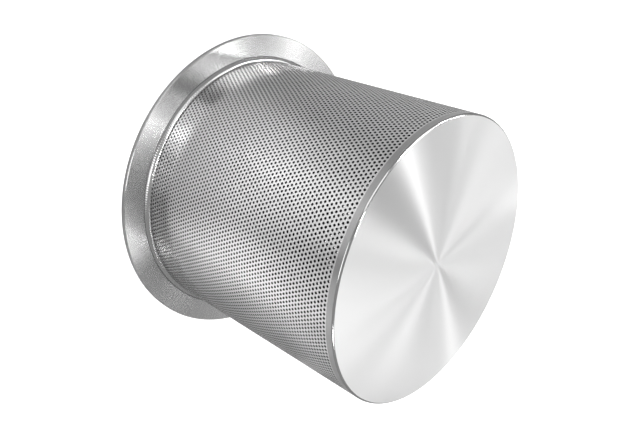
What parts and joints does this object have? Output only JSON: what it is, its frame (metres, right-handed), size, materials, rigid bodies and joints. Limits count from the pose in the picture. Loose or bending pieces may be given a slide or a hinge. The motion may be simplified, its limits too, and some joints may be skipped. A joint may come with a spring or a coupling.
{
  "type": "filter element",
  "caption": "Cylindrical perforated sheet filter element with a mounting flange round its open mouth and a flat closed end, for straining flow inside a valve, pump or filter housing.",
  "frame": {"origin": "centre of the mounting flange's back face, which the element stands on, mouth down", "axes": "+Z along the element's axis, from the open mouth to the closed end; the sheet's lengthwise seam lies at +Y"},
  "size_m": [0.205, 0.205, 0.16],
  "materials": {
    "turned_steel": "turned stainless steel with fine concentric marks",
    "perforated_steel": "bright rolled stainless sheet",
    "weld_steel": "bright, lightly rippled weld"
  },
  "bodies": {
    "root": {"mounting_flange": "turned_steel", "perforated_tube": "perforated_steel", "seam_weld": "weld_steel", "flange_weld": "weld_steel", "end_cap": "turned_steel", "cap_weld": "weld_steel"}
  },
  "joints": []
}
